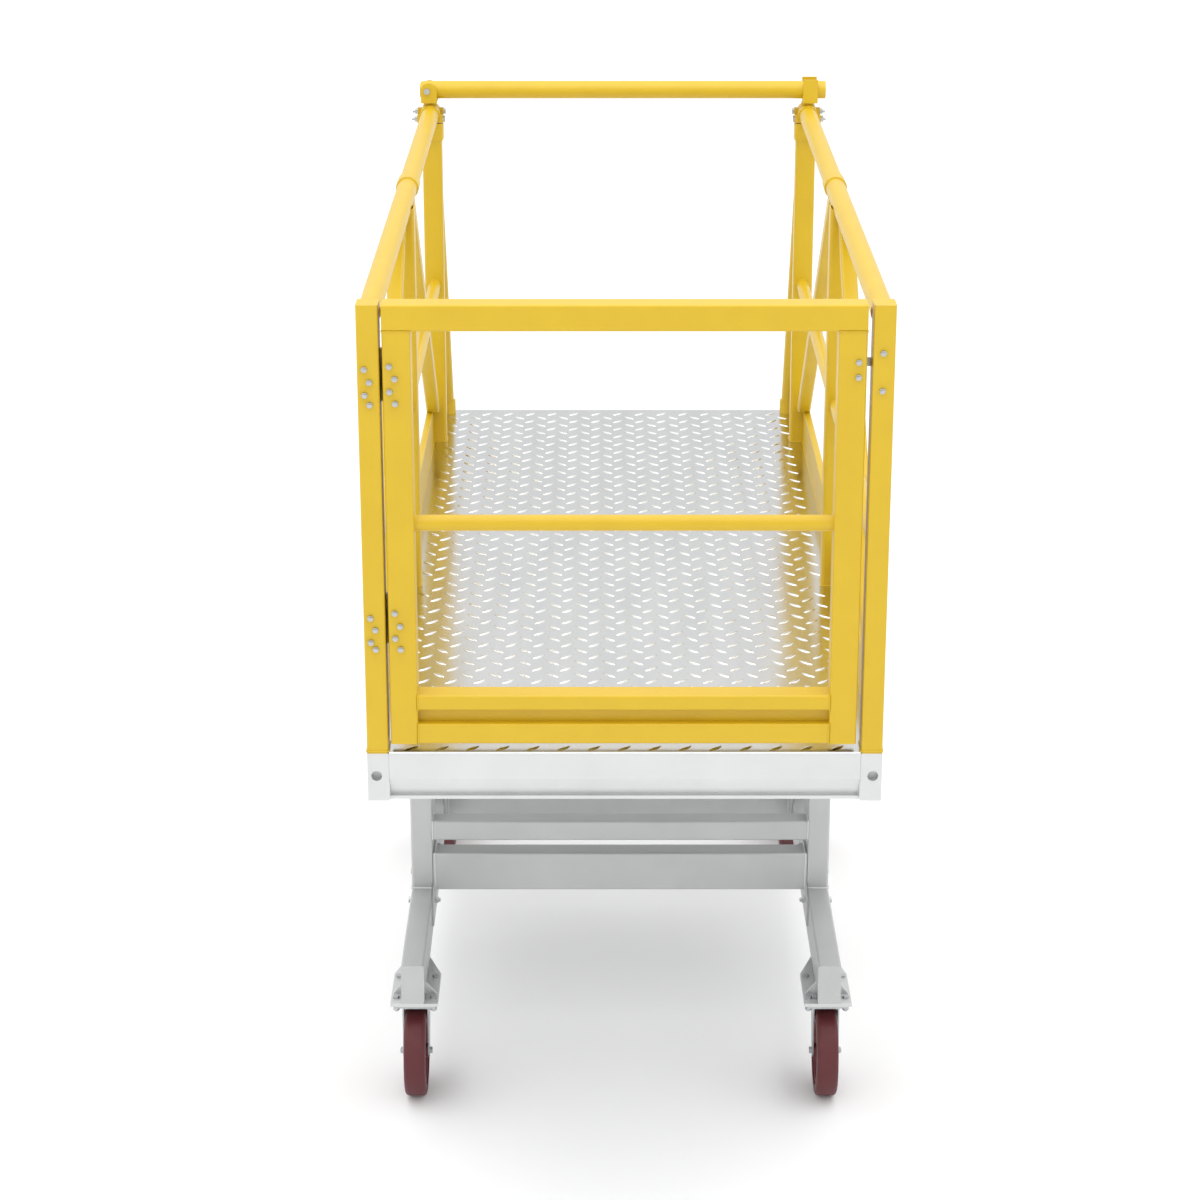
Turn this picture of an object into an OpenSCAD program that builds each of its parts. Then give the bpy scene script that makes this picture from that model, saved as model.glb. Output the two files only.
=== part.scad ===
// Rolling work platform: cantilevered deck, guardrails, gate, drop bar and swivel casters.
// Millimetres. X runs across the deck, Y along it with the gate at the -Y end, Z up from the floor.

/* [Deck] */
// Length of the deck
deck_length = 3048; // [3040:1:3060]
// Width of the deck
deck_width = 1219.2; // [1215:0.1:1225]
// Height of the deck frame top above the floor
deck_height = 1424; // [1410:1:1440]
// Width of each side beam
side_beam_width = 50.8; // [48:0.1:52]
// Height of each side beam
side_beam_height = 111; // [105:1:115]
// Wall of the side beams
side_beam_wall = 4; // [3:0.5:4]
// Thickness of the corner plates
corner_plate = 6; // [4:0.5:8]
// Bore of the socket in each corner plate
corner_bore = 25.4; // [20:0.1:26]
// Thickness of the tread plate
tread_plate = 4.8; // [3:0.1:6]
// Number of deck joists
joist_count = 5; // [3:1:5]
// Thickness of the toe boards
toe_board_width = 19.6; // [15:0.1:22]
// Height of the toe boards
toe_board_height = 120; // [100:1:130]

/* [Guardrail] */
// Depth of the front posts along the deck
front_post_depth = 66; // [60:1:70]
// Height of the front posts above the deck frame
front_post_height = 1084; // [1080:1:1090]
// Side of the square middle and rear posts
post_size = 60; // [56:1:62]
// Wall of the posts
post_wall = 3; // [2:0.5:4]
// Height of the top rail centre above the deck frame
top_rail_height = 1053; // [1045:1:1056]
// Outside diameter of the top rail
top_rail_diameter = 54; // [50:0.5:54]
// Height of the side mid rail centre above the deck frame
mid_rail_height = 516; // [480:1:540]
// Outside diameter of the mid rails
mid_rail_diameter = 38; // [34:0.5:40]
// Side of the square diagonal braces
brace_size = 40; // [34:1:40]

/* [Gate] */
// Width of the gate stiles
stile_width = 65; // [60:1:68]
// Height of the gate top rail
gate_top_height = 62; // [56:1:66]
// Gap between the gate and the deck frame
gate_floor_gap = 24.5; // [20:0.5:28]
// Radius of the hinge pins
hinge_pin_radius = 5; // [4:0.1:5]

/* [Base] */
// Height of the base rails
base_rail_height = 115; // [110:1:118]
// Width of the base rails
base_rail_width = 63.5; // [57:0.5:64]
// Depth of each upright along the deck
upright_depth = 158; // [150:1:165]
// Height of the upper crossbeams
upper_cross_height = 60; // [50:1:65]
// Height of the lower crossbeams
lower_cross_height = 116; // [110:1:118]

/* [Casters] */
// Radius of the wheels
wheel_radius = 127; // [122:1:127]
// Width of the wheels
wheel_width = 60; // [54:1:61]
// Distance of the axle from the swivel axis
caster_trail = 34; // [30:1:40]

/* [Hidden] */

yellow = [0.89, 0.75, 0.18];
silver = [0.86, 0.87, 0.88];
bright = [0.78, 0.79, 0.8];
zinc = [0.66, 0.67, 0.69];
red = [0.43, 0.2, 0.21];
black = [0.1, 0.1, 0.1];

half_width = deck_width / 2;
front_y = -deck_length / 2;
rear_y = deck_length / 2;
beam_x = half_width - side_beam_width / 2;
beam_inner_x = half_width - side_beam_width;
beam_bottom_z = deck_height - side_beam_height;
socket_x = 588;
socket_z = deck_height - 57;
socket_radius = 16.5;
socket_length = 28;
socket_floor = 6;
cross_beam_depth = 60;
end_beam_outline = [
    [0, 0], [0, -65], [2, -70], [20, -111], [10, -111], [10, -120], [cross_beam_depth, -120],
    [cross_beam_depth, -115], [25, -115], [5, -67], [5, -5], [cross_beam_depth, -5], [cross_beam_depth, 0]
];
joist_width = 40;
joist_height = 60;
joist_pitch = 508;

post_x = half_width - post_size / 2;
front_post_back = front_y + front_post_depth;
mid_post_front = -304;
mid_post_back = mid_post_front + post_size;
rear_post_front = 1136;
rear_post_back = rear_post_front + post_size;
rear_post_y = rear_post_front + post_size / 2;
post_notch = 1;
rail_x = beam_x;
rail_z = deck_height + top_rail_height;
rail_radius = top_rail_diameter / 2;
rail_wall = 3;
sleeve_radius = 31;
sleeve_front = -14;
sleeve_back = 66;
tee_front = rear_post_y - 45;
tee_back = rear_post_y + 45;
tee_neck_radius = 19.5;
tee_neck_top = rail_z + 38;
tee_skirt = 5;
tee_skirt_bottom = rail_z - 77;
rear_post_top = rail_z - 38;
tee_bolt_radius = 5;
tee_hex_radius = 9.8;
tee_bolt_spots = [[rear_post_y + 22, rail_z + 5], [rear_post_y - 23, rail_z - 11]];
tee_boss_inner = 545;
tee_boss_outer = 624;
tee_boss = 22;
mid_rail_z = deck_height + mid_rail_height;
toe_top = deck_height + toe_board_height;
toe_x = half_width - toe_board_width / 2;
toe_rear = 1476;
brace_x = half_width - brace_size / 2;
stay_radius = 20;
stay_top = [577, rear_post_back + 16, tee_skirt_bottom - 5];
stay_foot = [562, 1497, deck_height + 30];
stay_socket_height = 43;

bar_y = rear_post_y;
bar_z = rail_z + 75;
bar_left = -614;
bar_right = 638;
bar_pivot_x = -592;
bar_end_radius = 29;
bar_wall = 3;
bar_pivot_radius = 6;
bracket_left = -611;
bracket_width = 49;
bracket_plate = 5.5;
bracket_gap = 0.5;
cradle_left = 568;
cradle_width = 45;
cradle_cheek = 7;
cradle_rise = 35;

gate_left = -552;
gate_right = 546;
gate_bottom = deck_height + gate_floor_gap;
gate_top = deck_height + 1085;
gate_depth = front_post_depth;
gate_inner_left = gate_left + stile_width;
gate_inner_right = gate_right - stile_width;
gate_centre_y = front_y + gate_depth / 2;
gate_mid_z = deck_height + 562;
bottom_rail_height = 50.5;
low_rail_z = deck_height + 109;
low_rail_height = 37;
kick_thickness = 4;
kick_y = front_y + 24;
hinge_x = -555.5;
hinge_y = front_post_back + 8;
hinge_barrel_radius = 8;
hinge_height = 120;
hinge_bases = [deck_height + 255, deck_height + 845];
leaf_thickness = 5;
knuckle_gap = 0.5;
knuckle_height = (hinge_height - 2 * knuckle_gap) / 3;
running_clearance = 0.05;
post_bolt_spots = [
    [-593, 2360], [-582, 2330], [-593, 2300], [-582, 2277],
    [-593, 1764], [-582, 1735], [-593, 1704], [-582, 1687],
    [582, 2398], [582, 2310]
];
gate_bolt_spots = [
    [-536, 2367], [-524, 2338], [-536, 2308], [-524, 2280],
    [-536, 1776], [-524, 1744], [-536, 1714], [-524, 1687],
    [527, 2377], [527, 2342]
];
bolt_radius = 4;
bolt_hole_radius = 4.3;
bolt_hex_radius = 7.5;
bolt_head_height = 5.3;
bolt_nut_height = 6.5;
bolt_tail = 10;
stop_z = 2359.5;
stop_plate_thickness = 3;
stop_plate_left = 561;
stop_plate_bottom = 2296;
stop_plate_size = [44, stop_plate_thickness, 116];
stop_pad_size = [30, 1.9, 24];
stop_arm_thickness = 5;
stop_arm_left = 500;
stop_block_size = [44, 2 * stop_arm_thickness, 64];
stop_tongue_left = 540;
stop_tongue_size = [50, stop_arm_thickness, 20];

base_front = -604;
base_middle_y = 336;
base_rail_top = 421;
base_rail_bottom = base_rail_top - base_rail_height;
base_rail_x = half_width - base_rail_width / 2;
base_inner_x = half_width - base_rail_width;
base_wall = 4;
upright_front = -84;
cap_plate_thickness = 8;
cap_overhang = 32;
cap_bolt_radius = 6;
upper_cross_bottom = 572;
upper_cross_depth = 64;
lower_cross_bottom = 415;
lower_cross_depth = 70;
rear_cross_bottom = 305;
gusset_thickness = 6;
gusset_bolt_spots = [[-120, 400], [10, 434], [40, 500]];
gusset_outline = [[-184, 345], [110, 345], [110, 531], [-84, 531], [-84, 436], [-184, 408]];
gusset_bolt_radius = 6;
large_hex_radius = 10.4;
foot_x = 575;
foot_half = 66;
foot_thickness = 10;
foot_square_end = -414;
foot_taper_end = -304;
caster_gap = 10;
caster_plate_thickness = 8;
caster_plate_z = base_rail_bottom - foot_thickness - caster_gap - caster_plate_thickness;
swivel_y = -500;
caster_bolt_dx = 52;
caster_bolt_dy = 66;
caster_bolt_radius = 5;
caster_hex_radius = 9.5;
foot_rib_thickness = 6;
foot_rib_height = 40;
raceway_radius = 36;
fork_crown_z = 259;
fork_crown_top = caster_plate_z - 12;
kingpin_radius = 8;
fork_leg_inner = 33;
fork_leg_thickness = 4;
axle_radius = 6;
tread_inner_radius = 98;
shoulder_radius = 11;

module both_sides() {
    children();
    mirror([1, 0, 0]) children();
}

module both_base_ends() {
    children();
    translate([0, 2 * base_middle_y, 0]) mirror([0, 1, 0]) children();
}

module rounded_rectangle(width, height, corner) {
    square([width - 2 * corner, height], center = true);
    square([width, height - 2 * corner], center = true);
    for (x = [-1, 1], y = [-1, 1])
        translate([x * (width / 2 - corner), y * (height / 2 - corner)]) circle(corner, $fn = 32);
}

module tube_profile(width, height, wall, corner) {
    difference() {
        rounded_rectangle(width, height, corner);
        rounded_rectangle(width - 2 * wall, height - 2 * wall, corner - wall + 1);
    }
}

// Rectangular tube standing on z: width along x, depth along y.
module upright_tube(width, depth, wall, corner, length) {
    linear_extrude(length) tube_profile(width, depth, wall, corner);
}

// Rectangular tube running along y: width along x, height along z.
module tube_along_y(width, height, wall, corner, length) {
    rotate([-90, 0, 0]) linear_extrude(length) tube_profile(width, height, wall, corner);
}

// Rectangular tube running along x: depth along y, height along z.
module tube_along_x(depth, height, wall, corner, length) {
    rotate([90, 0, 90]) linear_extrude(length) tube_profile(depth, height, wall, corner);
}

module rod_x(radius, x_start, x_end, sides = 48) {
    translate([x_start, 0, 0]) rotate([0, 90, 0]) cylinder(r = radius, h = x_end - x_start, $fn = sides);
}

module rod_y(radius, y_start, y_end, sides = 48) {
    translate([0, y_start, 0]) rotate([-90, 0, 0]) cylinder(r = radius, h = y_end - y_start, $fn = sides);
}

module cap_bolt_spots(z) {
    reach = (upright_depth + cap_overhang) / 2;
    both_base_ends() for (side = [-1, 1])
        translate([beam_x, upright_front + upright_depth / 2 + side * reach, z]) children();
}

// ---- Deck ----

module side_beams() {
    color(silver) both_sides() difference() {
        translate([beam_x, front_y + corner_plate, beam_bottom_z + side_beam_height / 2])
            tube_along_y(side_beam_width, side_beam_height, side_beam_wall, 5, deck_length - 2 * corner_plate);
        cap_bolt_spots(beam_bottom_z - 1) cylinder(r = cap_bolt_radius + 0.3, h = side_beam_wall + 2, $fn = 32);
    }
}

module corner_plate_shape() {
    difference() {
        union() {
            translate([beam_inner_x, front_y, beam_bottom_z - 9])
                cube([side_beam_width, corner_plate, side_beam_height + 9]);
            translate([socket_x, 0, socket_z])
                rod_y(socket_radius, front_y + corner_plate - 1, front_y + socket_length);
        }
        translate([socket_x, 0, socket_z])
            rod_y(corner_bore / 2, front_y - 1, front_y + socket_length - socket_floor);
    }
}

module corner_plates() {
    color(silver) both_sides() {
        corner_plate_shape();
        mirror([0, 1, 0]) corner_plate_shape();
    }
}

module end_beam_shape() {
    translate([-beam_inner_x, front_y, deck_height]) rotate([90, 0, 90])
        linear_extrude(2 * beam_inner_x) polygon(end_beam_outline);
}

module front_beam() {
    color(silver) end_beam_shape();
}

module rear_beam() {
    color(silver) mirror([0, 1, 0]) end_beam_shape();
}

module deck_joists() {
    color(silver) for (i = [0 : joist_count - 1])
        translate([-beam_inner_x, (i - (joist_count - 1) / 2) * joist_pitch, deck_height - joist_height / 2])
            tube_along_x(joist_width, joist_height, 3, 5, 2 * beam_inner_x);
}

module post_footprint(y_start, depth, width) {
    translate([half_width - width - post_notch, y_start - post_notch, 0])
        square([width + 2 * post_notch, depth + 2 * post_notch]);
}

module deck_plate() {
    color(bright) translate([0, 0, deck_height]) linear_extrude(tread_plate) difference() {
        square([deck_width - 2 * toe_board_width - 1, deck_length], center = true);
        both_sides() {
            post_footprint(front_y - 2, front_post_depth + 2, side_beam_width);
            post_footprint(mid_post_front, post_size, post_size);
            post_footprint(rear_post_front, post_size, post_size);
        }
    }
}

module toe_boards() {
    color(yellow) both_sides() for (span = [
            [front_post_back, mid_post_front], [mid_post_back, rear_post_front], [rear_post_back, toe_rear]
        ])
        translate([toe_x, span[0], deck_height + toe_board_height / 2])
            tube_along_y(toe_board_width, toe_board_height, 2.5, 4, span[1] - span[0]);
}

// ---- Guardrail ----

module front_posts() {
    color(yellow) difference() {
        both_sides() translate([beam_x, gate_centre_y, deck_height]) {
            upright_tube(side_beam_width, front_post_depth, post_wall, 6, front_post_height - 4);
            translate([0, 0, front_post_height - 4])
                linear_extrude(4) rounded_rectangle(side_beam_width, front_post_depth, 6);
        }
        for (spot = post_bolt_spots)
            translate([spot[0], 0, spot[1]]) rod_y(bolt_hole_radius, front_y - 1, front_post_back + 1, 24);
    }
}

module mid_posts() {
    color(yellow) both_sides() difference() {
        translate([post_x, mid_post_front + post_size / 2, deck_height])
            upright_tube(post_size, post_size, post_wall, 8, top_rail_height);
        translate([rail_x, 0, rail_z]) rod_y(rail_radius, mid_post_front - 10, mid_post_back + 10);
    }
}

module rear_posts() {
    color(yellow) both_sides() translate([post_x, rear_post_y, deck_height])
        upright_tube(post_size, post_size, post_wall, 8, rear_post_top - deck_height);
}

module tee_bolt_holes(extra) {
    for (spot = tee_bolt_spots)
        translate([0, spot[0], spot[1]])
            rod_x(tee_bolt_radius + extra, tee_boss_inner - 20, tee_boss_outer + 20, 32);
}

module top_rails() {
    color(yellow) both_sides() difference() {
        translate([rail_x, 0, rail_z]) for (span = [[front_post_back, 25], [27, tee_back - 6]]) difference() {
            rod_y(rail_radius, span[0], span[1], 64);
            rod_y(rail_radius - rail_wall, span[0] - 1, span[1] + 1, 64);
        }
        tee_bolt_holes(0.3);
    }
}

module rail_sleeves() {
    color(yellow) both_sides() translate([rail_x, 0, rail_z]) difference() {
        rod_y(sleeve_radius, sleeve_front, sleeve_back, 64);
        rod_y(rail_radius, sleeve_front - 1, sleeve_back + 1, 64);
    }
}

module rail_tees() {
    skirt = post_size + 2 * tee_skirt;
    color(yellow) both_sides() difference() {
        union() {
            translate([rail_x, 0, rail_z]) rod_y(sleeve_radius, tee_front, tee_back, 64);
            translate([rail_x, rear_post_y, rail_z + 8])
                cylinder(r1 = sleeve_radius - 1, r2 = tee_neck_radius, h = 26, $fn = 64);
            translate([rail_x, rear_post_y, rail_z])
                cylinder(r = tee_neck_radius, h = tee_neck_top - rail_z, $fn = 64);
            translate([post_x, rear_post_y, tee_skirt_bottom])
                linear_extrude(rail_z - tee_skirt_bottom - 25) rounded_rectangle(skirt, skirt, 10);
            for (spot = tee_bolt_spots)
                translate([tee_boss_inner, spot[0] - tee_boss / 2, spot[1] - tee_boss / 2])
                    cube([tee_boss_outer - tee_boss_inner, tee_boss, tee_boss]);
        }
        translate([rail_x, 0, rail_z]) rod_y(rail_radius, tee_front - 1, tee_back - 5, 64);
        translate([post_x, rear_post_y, tee_skirt_bottom - 1])
            linear_extrude(rear_post_top - tee_skirt_bottom + 1) rounded_rectangle(post_size, post_size, 8);
        tee_bolt_holes(0.3);
    }
}

module tee_bolts() {
    color(zinc) both_sides() for (spot = tee_bolt_spots) translate([0, spot[0], spot[1]]) {
        rod_x(tee_bolt_radius, tee_boss_inner - 7, tee_boss_outer + 16, 32);
        rod_x(tee_hex_radius, tee_boss_inner - 7, tee_boss_inner, 6);
        rod_x(tee_hex_radius, tee_boss_outer, tee_boss_outer + 8, 6);
    }
}

module brace_solid(low, high) {
    run = high[0] - low[0];
    rise = high[1] - low[1];
    length = sqrt(run * run + rise * rise);
    translate([brace_x, low[0], low[1]]) rotate([-atan2(run, rise), 0, 0])
        translate([0, 0, -80]) linear_extrude(length + 160) children();
}

rear_brace_low = [1106, deck_height + 120];
rear_brace_high = [26, deck_height + 1030];
front_brace_low = [-1424, deck_height + 130];
front_brace_high = [-330, deck_height + 1010];

module brace_envelopes() {
    brace_solid(rear_brace_low, rear_brace_high) square(brace_size, center = true);
    brace_solid(front_brace_low, front_brace_high) square(brace_size, center = true);
}

module mid_rails() {
    color(yellow) both_sides() difference() {
        translate([post_x, 0, mid_rail_z])
            for (span = [[front_post_back, mid_post_front], [mid_post_back, rear_post_front]]) difference() {
                rod_y(mid_rail_diameter / 2, span[0], span[1], 48);
                rod_y(mid_rail_diameter / 2 - 3, span[0] - 1, span[1] + 1, 48);
            }
        brace_envelopes();
    }
}

module diagonal_braces() {
    color(yellow) both_sides() difference() {
        intersection() {
            union() {
                brace_solid(rear_brace_low, rear_brace_high) tube_profile(brace_size, brace_size, 3, 6);
                brace_solid(front_brace_low, front_brace_high) tube_profile(brace_size, brace_size, 3, 6);
            }
            for (span = [[front_post_back, mid_post_front], [mid_post_back, rear_post_front]])
                translate([brace_x - brace_size, span[0], toe_top])
                    cube([2 * brace_size, span[1] - span[0], rail_z - toe_top - rail_radius + 2]);
        }
        translate([rail_x, 0, rail_z]) {
            rod_y(rail_radius, front_y, rear_y, 64);
            rod_y(sleeve_radius, sleeve_front, sleeve_back, 64);
        }
    }
}

module stay_axis() {
    run = stay_top - stay_foot;
    length = norm(run);
    translate(stay_foot) rotate([0, acos(run[2] / length), atan2(run[1], run[0])]) children();
}

module back_stays() {
    stay_length = norm(stay_top - stay_foot);
    color(yellow) both_sides() {
        difference() {
            stay_axis() difference() {
                cylinder(r = stay_radius, h = stay_length + 30, $fn = 48);
                translate([0, 0, -1]) cylinder(r = stay_radius - 3, h = stay_length + 32, $fn = 48);
            }
            translate([stay_top[0] - 60, rear_post_back - 80, stay_foot[2]])
                cube([120, 80, 2 * stay_length]);
            translate([stay_top[0] - 60, rear_post_back - 80, stay_top[2]]) cube([120, 200, 100]);
        }
        difference() {
            translate([stay_foot[0], stay_foot[1], deck_height + tread_plate])
                cylinder(r = stay_radius + 5, h = stay_socket_height, $fn = 48);
            stay_axis() translate([0, 0, -0.2])
                cylinder(r = stay_radius + running_clearance, h = stay_length, $fn = 48);
        }
    }
}

// ---- Drop bar ----

module drop_bar() {
    color(yellow) translate([0, bar_y, bar_z]) difference() {
        union() {
            rod_x(rail_radius, bar_pivot_x, bar_right, 64);
            intersection() {
                rod_x(rail_radius, bar_left, bar_pivot_x + 5, 64);
                translate([bar_pivot_x, 0, 0]) rod_y(bar_end_radius, -40, 40, 64);
            }
        }
        rod_x(rail_radius - bar_wall, bar_left - 1, bar_right - bar_wall, 64);
        translate([bar_pivot_x, 0, 0]) rod_y(bar_pivot_radius + running_clearance, -40, 40);
    }
}

module drop_bar_bracket() {
    base_z = tee_neck_top;
    reach = rail_radius + bracket_gap;
    ear_x = bracket_left + bracket_width / 2;
    color(yellow) difference() {
        union() {
            translate([bracket_left, bar_y - reach - bracket_plate, base_z])
                cube([bracket_width, 2 * (reach + bracket_plate), 6]);
            for (y = [bar_y - reach - bracket_plate, bar_y + reach]) {
                translate([bracket_left, y, base_z]) cube([bracket_width, bracket_plate, bar_z - base_z]);
                translate([ear_x, y, bar_z]) rod_y(bracket_width / 2, 0, bracket_plate, 64);
            }
        }
        translate([bar_pivot_x, 0, bar_z]) rod_y(bar_pivot_radius, bar_y - 60, bar_y + 60);
    }
}

module drop_bar_pivot() {
    reach = rail_radius + bracket_gap + bracket_plate;
    color(zinc) translate([bar_pivot_x, bar_y, bar_z]) {
        rod_y(bar_pivot_radius, -reach - 8, reach + 14);
        rod_y(large_hex_radius, -reach - 8, -reach, 6);
        rod_y(large_hex_radius, reach, reach + 10, 6);
    }
}

module drop_bar_cradle() {
    reach = rail_radius + running_clearance;
    color(yellow) translate([cradle_left, bar_y, bar_z]) rotate([90, 0, 90])
        linear_extrude(cradle_width) difference() {
            translate([-reach - cradle_cheek, tee_neck_top - bar_z])
                square([2 * (reach + cradle_cheek), bar_z + cradle_rise - tee_neck_top]);
            circle(reach, $fn = 64);
            translate([-reach, 0]) square([2 * reach, cradle_rise + 1]);
        }
}

// ---- Gate ----

module gate_bolt_holes() {
    for (spot = gate_bolt_spots)
        translate([spot[0], 0, spot[1]]) rod_y(bolt_hole_radius, front_y - 1, front_post_back + 1, 24);
}

module gate_stiles() {
    color(yellow) difference() {
        for (x = [gate_left + stile_width / 2, gate_right - stile_width / 2])
            translate([x, gate_centre_y, gate_bottom])
                upright_tube(stile_width, gate_depth, post_wall, 6, gate_top - gate_top_height - gate_bottom);
        gate_bolt_holes();
    }
}

module gate_top_rail() {
    color(yellow) translate([gate_left, gate_centre_y, gate_top - gate_top_height / 2]) {
        translate([3, 0, 0])
            tube_along_x(gate_depth, gate_top_height, post_wall, 6, gate_right - gate_left - 6);
        for (x = [0, gate_right - gate_left - 3]) translate([x, 0, 0]) rotate([90, 0, 90])
            linear_extrude(3) rounded_rectangle(gate_depth, gate_top_height, 6);
    }
}

module gate_mid_rail() {
    color(yellow) translate([0, gate_centre_y, gate_mid_z]) difference() {
        rod_x(mid_rail_diameter / 2, gate_inner_left, gate_inner_right, 64);
        rod_x(mid_rail_diameter / 2 - 3, gate_inner_left - 1, gate_inner_right + 1, 64);
    }
}

module gate_low_rails() {
    span = gate_inner_right - gate_inner_left;
    color(yellow) translate([gate_inner_left, gate_centre_y, 0]) {
        translate([0, 0, gate_bottom + bottom_rail_height / 2])
            tube_along_x(gate_depth, bottom_rail_height, post_wall, 6, span);
        translate([0, 0, low_rail_z + low_rail_height / 2])
            tube_along_x(gate_depth, low_rail_height, post_wall, 6, span);
    }
}

module kick_plate() {
    bottom = gate_bottom + bottom_rail_height;
    color(yellow) translate([gate_inner_left, kick_y, bottom])
        cube([gate_inner_right - gate_inner_left, kick_thickness, low_rail_z - bottom]);
}

module knuckle(index, bore) {
    translate([hinge_x, hinge_y, index * (knuckle_height + knuckle_gap)]) difference() {
        cylinder(r = hinge_barrel_radius, h = knuckle_height, $fn = 48);
        translate([0, 0, -1]) cylinder(r = bore, h = knuckle_height + 2, $fn = 48);
    }
}

module bolt_holes(spots) {
    for (spot = spots)
        translate([spot[0], 0, spot[1]]) rod_y(bolt_hole_radius, front_y - 1, front_post_back + 30, 24);
}

// One leaf with its knuckles, cut back around the knuckles of the other leaf.
module hinge_leaf(far_x, own_knuckles, other_knuckles, bore) {
    side = sign(far_x - hinge_x);
    difference() {
        translate([side < 0 ? far_x : hinge_x, front_post_back, 0])
            cube([abs(far_x - hinge_x), leaf_thickness, hinge_height]);
        translate([hinge_x, hinge_y, -1]) cylinder(r = hinge_barrel_radius - 1, h = hinge_height + 2, $fn = 48);
        for (i = other_knuckles)
            translate([hinge_x, hinge_y, i * (knuckle_height + knuckle_gap) - knuckle_gap])
                cylinder(r = hinge_barrel_radius + 1, h = knuckle_height + 2 * knuckle_gap, $fn = 48);
        translate([side < 0 ? hinge_x - 3 : hinge_x - 1, front_post_back - 1, -1])
            cube([side < 0 ? 4 : 1, leaf_thickness + 2, hinge_height + 2]);
    }
    for (i = own_knuckles) knuckle(i, bore);
}

module post_leaves() {
    color(zinc) difference() {
        for (base = hinge_bases) translate([0, 0, base]) hinge_leaf(-605, [0, 2], [1], hinge_pin_radius);
        bolt_holes(post_bolt_spots);
    }
}

module gate_leaves() {
    color(zinc) difference() {
        for (base = hinge_bases)
            translate([0, 0, base]) hinge_leaf(-506, [1], [0, 2], hinge_pin_radius + running_clearance);
        bolt_holes(gate_bolt_spots);
    }
}

module hinge_pins() {
    color(zinc) for (base = hinge_bases) translate([hinge_x, hinge_y, base]) {
        translate([0, 0, -3]) cylinder(r = hinge_pin_radius, h = hinge_height + 6, $fn = 48);
        translate([0, 0, hinge_height]) cylinder(r = hinge_barrel_radius - 1, h = 3, $fn = 48);
    }
}

// A bolt through the full depth of a post or stile: nut and tail in front, head on the back plate.
module plate_bolt(plate_back) {
    rod_y(bolt_radius, front_y - bolt_tail, plate_back + bolt_head_height, 24);
    rod_y(bolt_hex_radius, front_y - bolt_nut_height, front_y, 6);
    rod_y(bolt_hex_radius, plate_back, plate_back + bolt_head_height, 6);
}

module post_bolts() {
    color(zinc) for (spot = post_bolt_spots) translate([spot[0], 0, spot[1]])
        plate_bolt(front_post_back + (spot[0] < 0 ? leaf_thickness : stop_plate_thickness));
}

module gate_bolts() {
    color(zinc) for (spot = gate_bolt_spots) translate([spot[0], 0, spot[1]])
        plate_bolt(front_post_back + (spot[0] < 0 ? leaf_thickness : 2 * stop_arm_thickness));
}

module stop_plate() {
    color(zinc) difference() {
        translate([stop_plate_left, front_post_back, stop_plate_bottom]) cube(stop_plate_size);
        bolt_holes(post_bolt_spots);
    }
}

module stop_pad() {
    pad_z = stop_z - stop_pad_size[2] / 2;
    color(black) translate([stop_plate_left + 2, front_post_back + stop_plate_thickness, pad_z])
        cube(stop_pad_size);
}

module stop_arm() {
    color(zinc) difference() {
        union() {
            translate([stop_arm_left, front_post_back, stop_z - stop_block_size[2] / 2])
                cube(stop_block_size);
            translate([stop_tongue_left, front_post_back, stop_z - stop_tongue_size[2] / 2])
                translate([0, stop_arm_thickness, 0]) cube(stop_tongue_size);
        }
        bolt_holes(gate_bolt_spots);
    }
}

// ---- Base ----

module base_rails() {
    base_length = 2 * (base_middle_y - base_front);
    color(silver) both_sides() difference() {
        union() {
            translate([base_rail_x, base_front + base_wall, base_rail_top - base_rail_height / 2])
                tube_along_y(base_rail_width, base_rail_height, base_wall, 6, base_length - 2 * base_wall);
            both_base_ends() translate([base_rail_x, base_front, base_rail_top - base_rail_height / 2])
                rotate([-90, 0, 0]) linear_extrude(base_wall)
                    rounded_rectangle(base_rail_width, base_rail_height, 6);
        }
        gusset_bolt_holes();
    }
}

module gusset_bolt_holes() {
    both_base_ends() for (spot = gusset_bolt_spots)
        translate([0, spot[0], spot[1]])
            rod_x(gusset_bolt_radius + 0.3, base_inner_x - 20, half_width + 10, 32);
}

module uprights() {
    upright_top = beam_bottom_z - cap_plate_thickness;
    color(silver) both_sides() difference() {
        both_base_ends() translate([base_rail_x, upright_front + upright_depth / 2, base_rail_top])
            upright_tube(base_rail_width, upright_depth, base_wall, 6, upright_top - base_rail_top);
        gusset_bolt_holes();
    }
}

module cap_plates() {
    color(silver) both_sides() difference() {
        both_base_ends()
            translate([base_inner_x, upright_front - cap_overhang, beam_bottom_z - cap_plate_thickness])
                cube([base_rail_width, upright_depth + 2 * cap_overhang, cap_plate_thickness]);
        cap_bolt_spots(beam_bottom_z - cap_plate_thickness - 1)
            cylinder(r = cap_bolt_radius + 0.3, h = cap_plate_thickness + 2, $fn = 32);
    }
}

module cap_bolts() {
    grip = cap_plate_thickness + side_beam_wall;
    color(zinc) both_sides() cap_bolt_spots(beam_bottom_z - cap_plate_thickness) {
        translate([0, 0, -8]) cylinder(r = cap_bolt_radius, h = grip + 26, $fn = 32);
        translate([0, 0, -8]) cylinder(r = large_hex_radius, h = 8, $fn = 6);
        translate([0, 0, grip]) cylinder(r = large_hex_radius, h = 10, $fn = 6);
    }
}

module lower_crossbeam(bottom_z, span) {
    translate([-span, upright_front + lower_cross_depth / 2, bottom_z + lower_cross_height / 2])
        tube_along_x(lower_cross_depth, lower_cross_height, 3, 6, 2 * span);
}

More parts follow.
